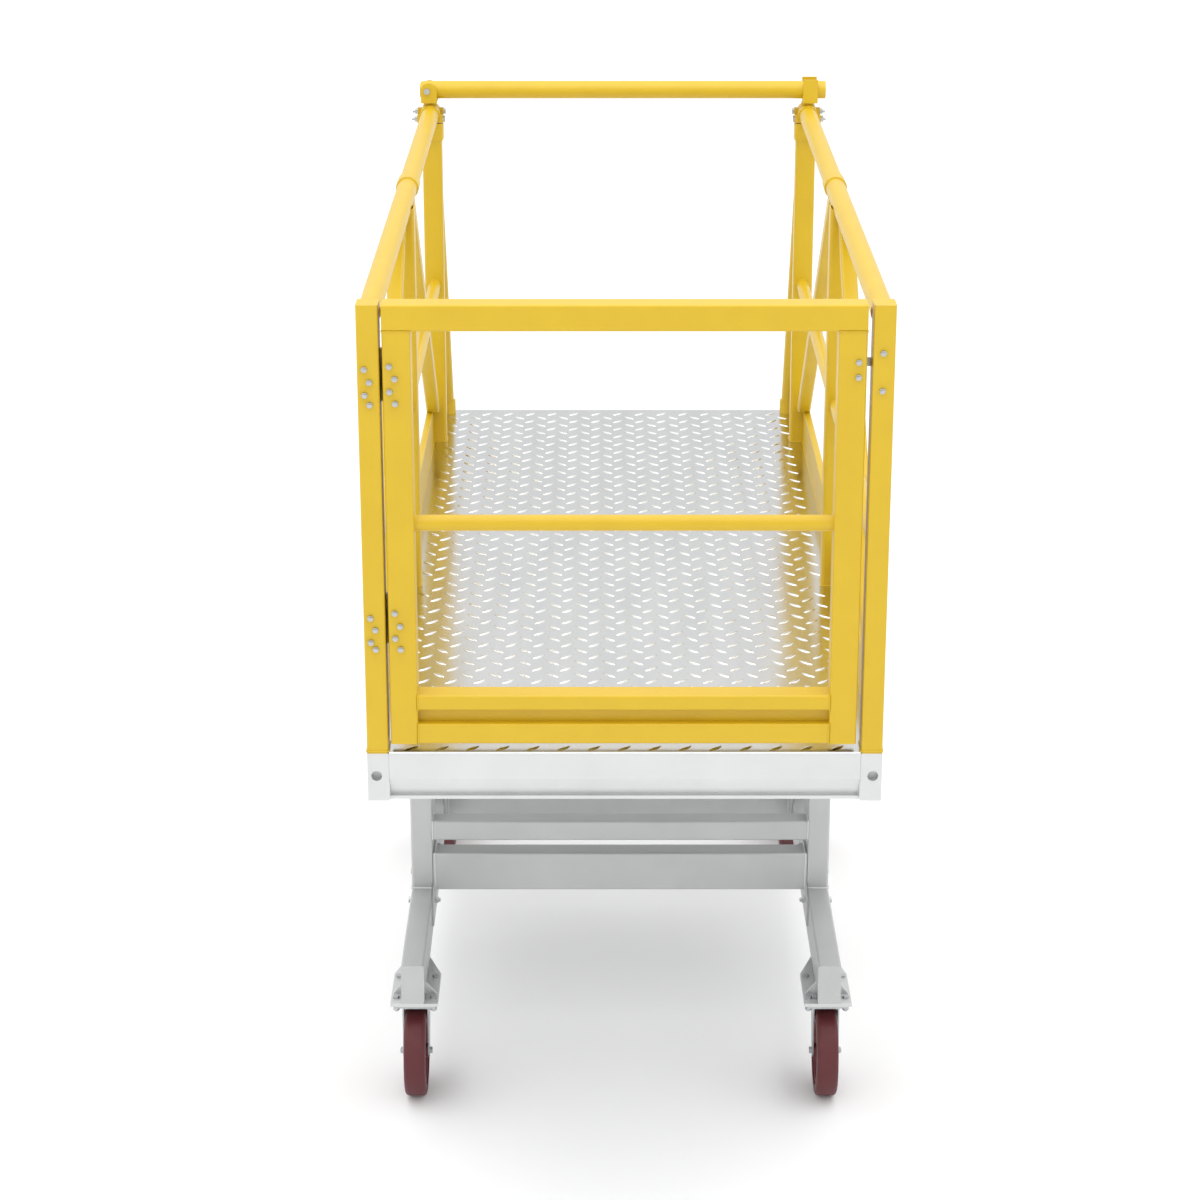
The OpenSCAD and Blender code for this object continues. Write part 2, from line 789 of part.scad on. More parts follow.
module crossbeams() {
    gusset_span = base_inner_x - gusset_thickness;
    color(silver) {
        both_base_ends()
            translate([-base_inner_x, upright_front + upper_cross_depth / 2,
                       upper_cross_bottom + upper_cross_height / 2])
                tube_along_x(upper_cross_depth, upper_cross_height, 3, 6, 2 * base_inner_x);
        lower_crossbeam(lower_cross_bottom, gusset_span);
        translate([0, 2 * base_middle_y, 0]) mirror([0, 1, 0]) lower_crossbeam(rear_cross_bottom, gusset_span);
    }
}

module gussets() {
    color(silver) both_sides() difference() {
        both_base_ends() translate([base_inner_x - gusset_thickness, 0, 0]) rotate([90, 0, 90])
            linear_extrude(gusset_thickness) polygon(gusset_outline);
        gusset_bolt_holes();
    }
}

module gusset_bolts() {
    inner = base_inner_x - gusset_thickness;
    color(zinc) both_sides() both_base_ends() for (spot = gusset_bolt_spots) translate([0, spot[0], spot[1]]) {
        rod_x(gusset_bolt_radius, inner - 16, half_width + 7.5, 32);
        rod_x(large_hex_radius, half_width, half_width + 7.5, 6);
        rod_x(large_hex_radius, inner - 10, inner, 6);
    }
}

module at_caster_bolts() {
    for (x = [-caster_bolt_dx, caster_bolt_dx], y = [-caster_bolt_dy, caster_bolt_dy])
        translate([foot_x + x, swivel_y + y, 0]) children();
}

module foot_plates() {
    foot_z = base_rail_bottom - foot_thickness;
    rail_outer = base_rail_x + base_rail_width / 2;
    color(silver) both_sides() both_base_ends() difference() {
        union() {
            translate([0, 0, foot_z]) linear_extrude(foot_thickness) polygon([
                [foot_x - foot_half, base_front], [foot_x + foot_half, base_front],
                [foot_x + foot_half, foot_square_end], [rail_outer, foot_taper_end],
                [base_inner_x, foot_taper_end], [foot_x - foot_half, foot_square_end]
            ]);
            translate([0, swivel_y - 40, 0]) rotate([90, 0, 0]) linear_extrude(foot_rib_thickness) {
                polygon([[rail_outer, base_rail_bottom], [foot_x + foot_half - 4, base_rail_bottom],
                         [rail_outer, base_rail_bottom + foot_rib_height]]);
                polygon([[base_inner_x, base_rail_bottom], [foot_x - foot_half + 4, base_rail_bottom],
                         [base_inner_x, base_rail_bottom + foot_rib_height]]);
            }
        }
        at_caster_bolts() translate([0, 0, foot_z - 1])
            cylinder(r = caster_bolt_radius + 0.3, h = foot_thickness + 2, $fn = 32);
    }
}

module caster_bolts() {
    spacer_z = base_rail_bottom - foot_thickness - caster_gap;
    color(zinc) both_sides() both_base_ends() at_caster_bolts() {
        translate([0, 0, caster_plate_z - 12])
            cylinder(r = caster_bolt_radius, h = base_rail_bottom - caster_plate_z + 18.4, $fn = 32);
        translate([0, 0, base_rail_bottom]) cylinder(r = caster_hex_radius, h = 6.4, $fn = 6);
        translate([0, 0, caster_plate_z - 8]) cylinder(r = caster_hex_radius, h = 8, $fn = 6);
        translate([0, 0, spacer_z]) difference() {
            cylinder(r = 9, h = caster_gap, $fn = 32);
            translate([0, 0, -1]) cylinder(r = caster_bolt_radius + 0.3, h = caster_gap + 2, $fn = 32);
        }
    }
}

module caster_plates() {
    color(zinc) both_sides() both_base_ends() {
        difference() {
            union() {
                translate([foot_x, swivel_y, caster_plate_z]) linear_extrude(caster_plate_thickness)
                    rounded_rectangle(2 * caster_bolt_dx + 20, 2 * caster_bolt_dy + 24, 12);
                translate([foot_x, swivel_y, fork_crown_top + 0.3])
                    cylinder(r = raceway_radius, h = caster_plate_z - fork_crown_top, $fn = 64);
                translate([foot_x, swivel_y, fork_crown_z - 5.5])
                    cylinder(r = kingpin_radius, h = caster_plate_z - fork_crown_z + 6, $fn = 48);
                translate([foot_x, swivel_y, fork_crown_z - 5.5]) cylinder(r = 12, h = 5.2, $fn = 48);
            }
            at_caster_bolts() translate([0, 0, caster_plate_z - 1])
                cylinder(r = caster_bolt_radius + 0.3, h = caster_plate_thickness + 2, $fn = 32);
        }
    }
}

// ---- Casters, built at the swivel axis and mirrored to the four corners ----

module at_caster(right, rear) {
    translate([0, rear ? 2 * base_middle_y : 0, 0]) mirror([0, rear ? 1 : 0, 0]) mirror([right ? 0 : 1, 0, 0])
        translate([foot_x, swivel_y, 0]) children();
}

module caster_fork() {
    outer = fork_leg_inner + fork_leg_thickness;
    color(zinc) difference() {
        union() {
            translate([0, 0, fork_crown_z])
                cylinder(r = raceway_radius + 2, h = fork_crown_top - fork_crown_z, $fn = 64);
            translate([-outer, -44, fork_crown_z]) cube([2 * outer, 76, fork_crown_top - fork_crown_z]);
            for (x = [-outer, fork_leg_inner]) translate([x, 0, 0]) rotate([90, 0, 90])
                linear_extrude(fork_leg_thickness) {
                    translate([-caster_trail, wheel_radius]) circle(19, $fn = 48);
                    polygon([[-caster_trail - 19, wheel_radius], [-caster_trail + 19, wheel_radius],
                             [32, fork_crown_z - 22], [32, fork_crown_top], [-44, fork_crown_top]]);
                }
        }
        translate([0, 0, fork_crown_z - 1]) cylinder(r = kingpin_radius + running_clearance, h = 20, $fn = 48);
        translate([0, -caster_trail, wheel_radius]) rod_x(axle_radius, -outer - 1, outer + 1, 48);
    }
}

module caster_axle() {
    outer = fork_leg_inner + fork_leg_thickness;
    color(zinc) translate([0, -caster_trail, wheel_radius]) {
        rod_x(axle_radius, -outer - 7.5, outer + 9, 48);
        rod_x(large_hex_radius, -outer - 7.5, -outer, 6);
        rod_x(large_hex_radius, outer, outer + 7, 6);
    }
}

module caster_hub() {
    rim = wheel_width / 2 - 4;
    bore = axle_radius + running_clearance;
    color(red) translate([0, -caster_trail, wheel_radius]) rotate([0, 90, 0]) rotate_extrude($fn = 96) polygon([
        [bore, -fork_leg_inner + 0.5], [20, -fork_leg_inner + 0.5], [24, -8], [80, -8], [86, -rim],
        [tread_inner_radius, -rim], [tread_inner_radius, rim], [86, rim], [80, 8], [24, 8],
        [20, fork_leg_inner - 0.5], [bore, fork_leg_inner - 0.5]
    ]);
}

module caster_tread() {
    half = wheel_width / 2;
    depth = wheel_radius - tread_inner_radius;
    color(red) translate([0, -caster_trail, wheel_radius]) rotate([0, 90, 0]) rotate_extrude($fn = 96) {
        translate([tread_inner_radius, -half + shoulder_radius]) square([depth, 2 * (half - shoulder_radius)]);
        translate([tread_inner_radius, -half]) square([depth - shoulder_radius, 2 * half]);
        for (y = [-1, 1]) translate([wheel_radius - shoulder_radius, y * (half - shoulder_radius)])
            circle(shoulder_radius, $fn = 48);
    }
}

module fork_fl() {
    at_caster(false, false) caster_fork();
}

module axle_fl() {
    at_caster(false, false) caster_axle();
}

module hub_fl() {
    at_caster(false, false) caster_hub();
}

module tread_fl() {
    at_caster(false, false) caster_tread();
}

module fork_fr() {
    at_caster(true, false) caster_fork();
}

module axle_fr() {
    at_caster(true, false) caster_axle();
}

module hub_fr() {
    at_caster(true, false) caster_hub();
}

module tread_fr() {
    at_caster(true, false) caster_tread();
}

module fork_rl() {
    at_caster(false, true) caster_fork();
}

module axle_rl() {
    at_caster(false, true) caster_axle();
}

module hub_rl() {
    at_caster(false, true) caster_hub();
}

module tread_rl() {
    at_caster(false, true) caster_tread();
}

module fork_rr() {
    at_caster(true, true) caster_fork();
}

module axle_rr() {
    at_caster(true, true) caster_axle();
}

module hub_rr() {
    at_caster(true, true) caster_hub();
}

module tread_rr() {
    at_caster(true, true) caster_tread();
}

side_beams();
corner_plates();
front_beam();
rear_beam();
deck_joists();
deck_plate();
toe_boards();
front_posts();
mid_posts();
rear_posts();
top_rails();
rail_sleeves();
rail_tees();
tee_bolts();
mid_rails();
diagonal_braces();
back_stays();
drop_bar();
drop_bar_bracket();
drop_bar_pivot();
drop_bar_cradle();
gate_stiles();
gate_top_rail();
gate_mid_rail();
gate_low_rails();
kick_plate();
post_leaves();
gate_leaves();
hinge_pins();
post_bolts();
gate_bolts();
stop_plate();
stop_pad();
stop_arm();
base_rails();
uprights();
cap_plates();
cap_bolts();
crossbeams();
gussets();
gusset_bolts();
foot_plates();
caster_bolts();
caster_plates();
fork_fl();
axle_fl();
hub_fl();
tread_fl();
fork_fr();
axle_fr();
hub_fr();
tread_fr();
fork_rl();
axle_rl();
hub_rl();
tread_rl();
fork_rr();
axle_rr();
hub_rr();
tread_rr();
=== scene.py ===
import math
import random

import bmesh
import bpy
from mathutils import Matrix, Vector


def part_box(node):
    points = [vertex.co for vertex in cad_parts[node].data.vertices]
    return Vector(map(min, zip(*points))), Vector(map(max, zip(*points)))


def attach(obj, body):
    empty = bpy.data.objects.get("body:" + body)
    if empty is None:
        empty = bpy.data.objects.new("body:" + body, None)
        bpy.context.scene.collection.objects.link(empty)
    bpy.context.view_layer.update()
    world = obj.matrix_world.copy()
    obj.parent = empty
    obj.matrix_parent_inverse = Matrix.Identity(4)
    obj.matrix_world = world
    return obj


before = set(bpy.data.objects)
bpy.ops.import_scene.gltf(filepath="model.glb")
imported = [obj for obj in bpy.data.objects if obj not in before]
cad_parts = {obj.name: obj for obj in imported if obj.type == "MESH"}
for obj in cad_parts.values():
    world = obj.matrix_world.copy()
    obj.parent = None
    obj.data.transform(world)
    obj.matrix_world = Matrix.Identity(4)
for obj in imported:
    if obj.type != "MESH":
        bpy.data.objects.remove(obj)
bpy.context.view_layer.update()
random.seed(41)


# ---- Deck frame and base: extruded aluminium ----
# Box and channel extrusions of aluminium, sawn, welded and left in their mill finish.
# The die leaves faint lines along each length, and the oxide makes the shine soft and pale.

DECK_OXIDE = ("#C9CACA", "#D6D7D7")
BASE_OXIDE_AND_PAINTED_SHADE = ("#B4B5B5", "#C4C5C5")     # the base frame is painted darker than the deck frame: painted shade for the parts under the deck
DECK_METAL_SHARE = 0.7   # the rest is pale oxide
BASE_METAL_SHARE = 0.5
DIE_LINE_MM = 4.0        # real lines are under 0.5 mm apart, drawn coarser so that they show
OXIDE_PATCH_MM = 140.0
MM = 0.001
SPLIT_CORNER_GAP = 0.00005   # corners of a CAD mesh nearer than this are one corner


def linear(hex_colour):
    """An sRGB hex colour as linear RGBA."""
    values = [int(hex_colour[i:i + 2], 16) / 255 for i in (1, 3, 5)]
    return [v / 12.92 if v <= 0.04045 else ((v + 0.055) / 1.055) ** 2.4 for v in values] + [1.0]


def add_node(material, kind, links=None, **settings):
    """Adds one shader node. links gives its sockets a value or another node's output."""
    made = material.node_tree.nodes.new(kind)
    for name, value in settings.items():
        setattr(made, name, value)
    for socket, value in (links or {}).items():
        if isinstance(value, bpy.types.NodeSocket):
            material.node_tree.links.new(value, made.inputs[socket])
        else:
            made.inputs[socket].default_value = value
    return made


def new_material(name, **constants):
    """A material with one Principled shader whose constant values are set on its own sockets."""
    material = bpy.data.materials.new(name)
    material.use_nodes = True
    shader = material.node_tree.nodes["Principled BSDF"]
    for socket, value in constants.items():
        shader.inputs[socket.replace("_", " ")].default_value = value
    return material, shader


def join(material, output, shader, socket):
    material.node_tree.links.new(output, shader.inputs[socket])


def two_tone(material, factor, low, high):
    """A colour that goes from low to high with factor."""
    ramp = add_node(material, "ShaderNodeValToRGB", {"Fac": factor})
    ramp.color_ramp.elements[0].color = linear(low)
    ramp.color_ramp.elements[1].color = linear(high)
    return ramp.outputs["Color"]


def patches(material, size_mm, detail=3.0, stretch=(1, 1, 1)):
    """Soft noise whose patches are size_mm across, in object space."""
    place = add_node(material, "ShaderNodeTexCoord")
    scaled = add_node(material, "ShaderNodeMapping", {
        "Vector": place.outputs["Object"], "Scale": stretch})
    noise = add_node(material, "ShaderNodeTexNoise", {
        "Vector": scaled.outputs["Vector"], "Scale": 1 / (size_mm * MM), "Detail": detail})
    return noise.outputs["Fac"]


def spread(material, factor, low, high):
    """Maps factor from 0..1 to low..high."""
    mapped = add_node(material, "ShaderNodeMapRange", {"Value": factor, "To Min": low, "To Max": high})
    return mapped.outputs["Result"]


def relief(material, height, depth_mm, strength=1.0):
    """A bump of that real depth."""
    bump = add_node(material, "ShaderNodeBump", {
        "Height": height, "Distance": depth_mm * MM, "Strength": strength})
    return bump.outputs["Normal"]


def paint(node_names, material):
    for name in node_names:
        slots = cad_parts[name].data.materials
        slots.clear()
        slots.append(material)


def extruded_aluminium(name, line_stretch, oxide_colours, metal_share):
    material, shader = new_material(name, Metallic=metal_share)
    oxide = patches(material, OXIDE_PATCH_MM, 5.0)
    lines = patches(material, DIE_LINE_MM, 2.0, line_stretch)
    join(material, two_tone(material, oxide, *oxide_colours), shader, "Base Color")
    join(material, spread(material, lines, 0.36, 0.52), shader, "Roughness")
    join(material, relief(material, lines, 0.05, 0.35), shader, "Normal")
    return material


ALONG_X, ALONG_Y, ALONG_Z = (0.01, 1, 1), (1, 0.01, 1), (1, 1, 0.01)
ALUMINIUM_PARTS = (
    ("mill finish deck beams, lines along", ALONG_Y, DECK_OXIDE, DECK_METAL_SHARE, ("side_beams",)),
    ("mill finish deck beams, lines across", ALONG_X, DECK_OXIDE, DECK_METAL_SHARE,
     ("front_beam", "rear_beam", "deck_joists")),
    ("mill finish sawn plate", ALONG_Z, DECK_OXIDE, DECK_METAL_SHARE,
     ("corner_plates", "cap_plates", "foot_plates")),
    # The base rails, crossbeams, uprights and gussets take the darker colours: painted shade under the
    # deck, over the same random oxide patches.
    ("painted shade on base rails, lines along", ALONG_Y, BASE_OXIDE_AND_PAINTED_SHADE, BASE_METAL_SHARE, ("base_rails",)),
    ("painted shade on crossbeams, lines across", ALONG_X, BASE_OXIDE_AND_PAINTED_SHADE, BASE_METAL_SHARE, ("crossbeams",)),
    ("painted shade on uprights, lines upward", ALONG_Z, BASE_OXIDE_AND_PAINTED_SHADE, BASE_METAL_SHARE, ("uprights", "gussets")),
)
for finish, stretch, oxide_pair, share, nodes in ALUMINIUM_PARTS:
    paint(nodes, extruded_aluminium("aluminium, " + finish, stretch, oxide_pair, share))


def soften(node_name, width, segments=3, angle=35):
    """Rolls the sharp edges of a CAD node over with modifiers."""
    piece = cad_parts[node_name]
    piece.modifiers.new("weld split corners", "WELD").merge_threshold = SPLIT_CORNER_GAP
    roll = piece.modifiers.new("rolled edge", "BEVEL")
    roll.width = width
    roll.segments = segments
    roll.limit_method = "ANGLE"
    roll.angle_limit = math.radians(angle)
    roll.harden_normals = False


for sheet_name, edge in (("corner_plates", 0.0008), ("gussets", 0.0008), ("foot_plates", 0.0008),
                         ("front_beam", 0.0012), ("rear_beam", 0.0012)):
    soften(sheet_name, edge, 2)


# ---- Weld beads ----
# Every frame joint is MIG welded by hand, in a string of overlapping puddles.
# On the aluminium they stay bare and bright; on the guardrail the powder coat covers them.

BEAD_PITCH = 0.0045      # real puddles are 2 to 3 mm apart, drawn coarser so that they show
BASE_BEAD = 0.0028
CORNER_BEAD = 0.0022
CORNER_PLATE = 0.006
LOW_END, HIGH_END = 0.012, 0.004     # where a corner bead stops short of the plate's edges

bead_metal, bead_shader = new_material("bare MIG weld bead", Metallic=1.0)
puddle = patches(bead_metal, 2.5, 2.0)
join(bead_metal, two_tone(bead_metal, puddle, "#B9BCBE", "#E6E8E8"), bead_shader, "Base Color")
join(bead_metal, spread(bead_metal, puddle, 0.28, 0.5), bead_shader, "Roughness")


def run_of(corners, closed, step):
    """Points every step along straight runs between corners."""
    points = []
    count = len(corners) if closed else len(corners) - 1
    for i in range(count):
        start, end = Vector(corners[i]), Vector(corners[(i + 1) % len(corners)])
        pieces = max(1, round((end - start).length / step))
        points += [start.lerp(end, k / pieces) for k in range(pieces)]
    if not closed:
        points.append(Vector(corners[-1]))
    return points


def weld(name, runs, size, material, body):
    """Beads that follow each (corners, closed) run, with a ripple at every puddle."""
    curve = bpy.data.curves.new(name, "CURVE")
    curve.dimensions = "3D"
    curve.bevel_depth = size
    curve.bevel_resolution = 2
    for corners, closed in runs:
        points = run_of(corners, closed, BEAD_PITCH)
        spline = curve.splines.new("POLY")
        spline.points.add(len(points) - 1)
        spline.use_cyclic_u = closed
        for i, point in enumerate(points):
            jitter = Vector([random.uniform(-0.0002, 0.0002) for _ in range(3)])
            spline.points[i].co = (*(point + jitter), 1)
            spline.points[i].radius = (1.0, 0.78)[i % 2] * random.uniform(0.94, 1.06)
    curve.materials.append(material)
    piece = bpy.data.objects.new(name, curve)
    bpy.context.collection.objects.link(piece)
    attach(piece, body)
    return piece


def solid_boxes(node_name):
    """(low, high) of each separate solid in a CAD node."""
    mesh = bmesh.new()
    mesh.from_mesh(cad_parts[node_name].data)
    bmesh.ops.remove_doubles(mesh, verts=mesh.verts, dist=SPLIT_CORNER_GAP)
    todo, boxes = set(mesh.verts), []
    while todo:
        group, front = set(), [todo.pop()]
        while front:
            vert = front.pop()
            group.add(vert)
            for edge in vert.link_edges:
                other = edge.other_vert(vert)
                if other in todo:
                    todo.discard(other)
                    front.append(other)
        low = Vector([min(v.co[i] for v in group) for i in range(3)])
        high = Vector([max(v.co[i] for v in group) for i in range(3)])
        boxes.append((low, high))
    mesh.free()
    return sorted(boxes, key=lambda b: tuple(round(c, 4) for c in (*b[0], *b[1])))


def foot_loop(low, high, z):
    """The rectangle where a post stands, at height z."""
    return [(low.x, low.y, z), (high.x, low.y, z), (high.x, high.y, z), (low.x, high.y, z)]


def end_loop(low, high, x):
    """The rectangle where a cross tube meets a side, at x."""
    return [(x, low.y, low.z), (x, high.y, low.z), (x, high.y, high.z), (x, low.y, high.z)]


base_runs = []
for low, high in solid_boxes("uprights"):
    base_runs += [(foot_loop(low, high, low.z), True), (foot_loop(low, high, high.z), True)]
for low, high in solid_boxes("crossbeams"):
    base_runs += [(end_loop(low, high, low.x), True), (end_loop(low, high, high.x), True)]
weld("base_frame_weld_beads", base_runs, BASE_BEAD, bead_metal, "platform")

deck_low, deck_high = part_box("front_beam")
corner_low, corner_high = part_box("corner_plates")
corner_runs = []
for x in (deck_low.x, deck_high.x):
    for y in (corner_low.y + CORNER_PLATE, corner_high.y - CORNER_PLATE):
        corner_runs.append(([(x, y, corner_low.z + LOW_END), (x, y, corner_high.z - HIGH_END)], False))
weld("deck_corner_weld_beads", corner_runs, CORNER_BEAD, bead_metal, "platform")


# ---- Tread plate ----
# Rolled aluminium tread plate, bright finish, laid on the joists. Its raised lugs stand in two
# leaning directions, each a smooth lens pressed up by the mill roll, with faint roll haze between.

LUG_LENGTH = 0.046
LUG_WIDTH = 0.0145
LUG_HEIGHT = 0.0026
LUG_COLUMN_PITCH = 0.072
LUG_ROW_PITCH = 0.090
LUG_LEAN = math.radians(43)
LUG_EDGE_MARGIN = 0.012
LUG_RINGS = ((1.0, 0.0), (0.86, 0.62), (0.55, 0.93))     # share of the size, share of the height
LUG_POINTS = 12
LUG_TIP_NARROWING = 0.45
LUG_TIP_POWER = 1.4
LUG_SINK = 0.0001        # the rim starts this far inside the plate

tread_metal, tread_shader = new_material("bright rolled aluminium tread plate", Metallic=1.0)
roll_haze = patches(tread_metal, 60.0, 5.0, (1, 0.15, 1))
scuffs = patches(tread_metal, 3.0, 3.0, (1, 0.3, 1))
join(tread_metal, two_tone(tread_metal, roll_haze, "#D6D8D9", "#ECEDED"), tread_shader, "Base Color")
join(tread_metal, spread(tread_metal, scuffs, 0.10, 0.22), tread_shader, "Roughness")
join(tread_metal, relief(tread_metal, scuffs, 0.04, 0.4), tread_shader, "Normal")
paint(("deck_plate",), tread_metal)

plate_low, plate_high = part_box("deck_plate")
post_boxes = [box for node in ("front_posts", "mid_posts", "rear_posts") for box in solid_boxes(node)]


def lug_fits(x, y):
    reach = LUG_LENGTH / 2
    for low, high in post_boxes:
        if low.x - reach < x < high.x + reach and low.y - reach < y < high.y + reach:
            return False
    return True


def press_lug(mesh, x, y, lean):
    """One lens-shaped lug, crowned along and across."""
    turn = (math.cos(lean), math.sin(lean))
    rings = []
    for size, rise in LUG_RINGS:
        ring = []
        for k in range(LUG_POINTS):
            angle = math.tau * k / LUG_POINTS
            along = LUG_LENGTH / 2 * size * math.cos(angle)
            tip = abs(math.cos(angle)) ** LUG_TIP_POWER
            across = LUG_WIDTH / 2 * size * math.sin(angle) * (1 - LUG_TIP_NARROWING * tip)
            ring.append(mesh.verts.new((
                x + along * turn[0] - across * turn[1], y + along * turn[1] + across * turn[0],
                plate_high.z - LUG_SINK + LUG_HEIGHT * rise)))
        rings.append(ring)
    for inner, outer in zip(rings[1:], rings):
        for k in range(LUG_POINTS):
            mesh.faces.new((outer[k], outer[(k + 1) % LUG_POINTS], inner[(k + 1) % LUG_POINTS], inner[k]))
    top = mesh.verts.new((x, y, plate_high.z + LUG_HEIGHT))
    for k in range(LUG_POINTS):
        mesh.faces.new((rings[-1][k], rings[-1][(k + 1) % LUG_POINTS], top))


lug_mesh = bmesh.new()
half_width = plate_high.x - LUG_EDGE_MARGIN - LUG_WIDTH
columns = int(half_width // (LUG_COLUMN_PITCH / 2))
rows = int((plate_high.y - plate_low.y - 4 * LUG_EDGE_MARGIN) // (LUG_ROW_PITCH / 2))
for column in range(-columns, columns + 1):
    leaning_left = column % 2
    for row in range(rows + 1):
        if row % 2 != leaning_left:
            continue
        x = column * LUG_COLUMN_PITCH / 2
        y = plate_low.y + 2 * LUG_EDGE_MARGIN + row * LUG_ROW_PITCH / 2
        if lug_fits(x, y):
            press_lug(lug_mesh, x, y, -LUG_LEAN if leaning_left else LUG_LEAN)
bmesh.ops.recalc_face_normals(lug_mesh, faces=lug_mesh.faces)
lug_data = bpy.data.meshes.new("tread_plate_lugs")
lug_mesh.to_mesh(lug_data)
lug_mesh.free()
lug_data.polygons.foreach_set("use_smooth", [True] * len(lug_data.polygons))
lug_data.materials.append(tread_metal)
lugs = bpy.data.objects.new("tread_plate_lugs", lug_data)
bpy.context.collection.objects.link(lugs)
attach(lugs, "platform")


# ---- Guardrail, toe boards, drop bar and gate: powder coated tube ----
# Welded aluminium tube, blasted and powder coated in safety yellow. The cured powder is a thick,
# slightly rippled satin skin, and it thins a little over corners where it looks warmer.

YELLOW_NODES = (
    "toe_boards", "front_posts", "mid_posts", "rear_posts", "top_rails", "rail_sleeves", "rail_tees",
    "mid_rails", "diagonal_braces", "back_stays", "drop_bar", "drop_bar_bracket", "drop_bar_cradle",
    "gate_stiles", "gate_top_rail", "gate_mid_rail", "gate_low_rails", "kick_plate",
)
POWDER_YELLOW = "#D2B011"
POWDER_DEEP = "#C9A50D"
ORANGE_PEEL_MM = 2.2     # real ripple is about 1 mm, drawn coarser so that it shows

powder, powder_shader = new_material(
    "safety yellow powder coat", IOR=1.5, Coat_Weight=0.12, Coat_Roughness=0.25)
shade = patches(powder, 90.0, 3.0)
peel = patches(powder, ORANGE_PEEL_MM, 1.0)
join(powder, two_tone(powder, shade, POWDER_DEEP, POWDER_YELLOW), powder_shader, "Base Color")
join(powder, spread(powder, peel, 0.34, 0.46), powder_shader, "Roughness")
join(powder, relief(powder, peel, 0.06, 0.5), powder_shader, "Normal")
paint(YELLOW_NODES, powder)

frame_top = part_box("deck_plate")[0].z
FOOT_BEAD, RAIL_BEAD, GATE_BEAD = 0.0026, 0.0022, 0.0020
bead_z = frame_top + 0.006       # just above the top of the tread plate
SLEEVE_INSET = 0.003             # brings the bead in from the sleeve's outer face
ON_POST_GAP = 0.002              # a rail end nearer than this to a post meets it
guard_runs = []
for node in ("front_posts", "mid_posts", "rear_posts"):
    for low, high in solid_boxes(node):
        guard_runs.append((foot_loop(low, high, bead_z), True))
for low, high in solid_boxes("toe_boards"):
    inner_x = low.x if low.x > 0 else high.x
    guard_runs.append(([(inner_x, low.y, bead_z), (inner_x, high.y, bead_z)], False))
weld("guardrail_foot_weld_beads", guard_runs, FOOT_BEAD, powder, "platform")


def ring_loop(centre, radius, axis, count=28):
    """A circle of points round a tube end; axis is 0, 1 or 2."""
    others = [i for i in range(3) if i != axis]
    points = []
    for k in range(count):
        point = list(centre)
        point[others[0]] += radius * math.cos(math.tau * k / count)
        point[others[1]] += radius * math.sin(math.tau * k / count)
        points.append(tuple(point))
    return points


rail_runs = []
for low, high in solid_boxes("top_rails") + solid_boxes("mid_rails"):
    radius = (high.z - low.z) / 2
    centre = (low + high) / 2
    for y in (low.y, high.y):
        on_post = any(abs(y - edge) < ON_POST_GAP for box in post_boxes for edge in (box[0].y, box[1].y))
        if on_post:
            rail_runs.append((ring_loop((centre.x, y, centre.z), radius, 1), True))
for low, high in solid_boxes("rail_sleeves"):
    centre, radius = (low + high) / 2, (high.z - low.z) / 2 - SLEEVE_INSET
    for y in (low.y, high.y):
        rail_runs.append((ring_loop((centre.x, y, centre.z), radius, 1), True))
weld("rail_weld_beads", rail_runs, RAIL_BEAD, powder, "platform")

gate_runs = []
stiles = solid_boxes("gate_stiles")
inner_left, inner_right = stiles[0][1].x, stiles[1][0].x
for low, high in solid_boxes("gate_low_rails"):
    for x in (inner_left, inner_right):
        gate_runs.append((end_loop(low, high, x), True))
for low, high in stiles:
    gate_runs.append((foot_loop(low, high, high.z), True))
mid_low, mid_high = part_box("gate_mid_rail")
mid_centre = (mid_low + mid_high) / 2
for x in (mid_low.x, mid_high.x):
    gate_runs.append((ring_loop((x, mid_centre.y, mid_centre.z), (mid_high.z - mid_low.z) / 2, 0), True))
weld("gate_weld_beads", gate_runs, GATE_BEAD, powder, "gate")


# ---- Bolts, hinges, forks and caster plates: zinc plated steel ----
# Cold headed bolts, pressed hinge leaves and forks, all plated in bright zinc and passivated.
# The plating leaves cloudy patches and a fine grain from the barrel.

ZINC_NODES = (
    "tee_bolts", "drop_bar_pivot", "post_leaves", "gate_leaves", "hinge_pins", "post_bolts", "gate_bolts",
    "stop_plate", "stop_arm", "cap_bolts", "gusset_bolts", "caster_bolts", "caster_plates",
    "fork_fl", "fork_fr", "fork_rl", "fork_rr", "axle_fl", "axle_fr", "axle_rl", "axle_rr",
)
zinc, zinc_shader = new_material("bright zinc plated steel", Metallic=1.0)
cloud = patches(zinc, 9.0, 4.0)
join(zinc, two_tone(zinc, cloud, "#A6A9AB", "#C9CBCC"), zinc_shader, "Base Color")
join(zinc, spread(zinc, cloud, 0.26, 0.42), zinc_shader, "Roughness")
join(zinc, relief(zinc, patches(zinc, 1.2, 2.0), 0.03, 0.4), zinc_shader, "Normal")
paint(ZINC_NODES, zinc)


# ---- Wheels ----
# Cast iron cores painted dark red, with a dark red polyurethane tread cast on and turned.
# The urethane is a dense satin plastic with faint turning rings and floor dust on the rolling face.

WHEELS = ("fl", "fr", "rl", "rr")
urethane, urethane_shader = new_material("cast polyurethane tread", IOR=1.5, Coat_Weight=0.0)
dust = patches(urethane, 35.0, 5.0)
grit = patches(urethane, 2.0, 3.0)
join(urethane, two_tone(urethane, dust, "#541A1F", "#602227"), urethane_shader, "Base Color")
join(urethane, spread(urethane, grit, 0.42, 0.6), urethane_shader, "Roughness")
join(urethane, relief(urethane, grit, 0.08, 0.5), urethane_shader, "Normal")
paint(["tread_" + wheel for wheel in WHEELS], urethane)

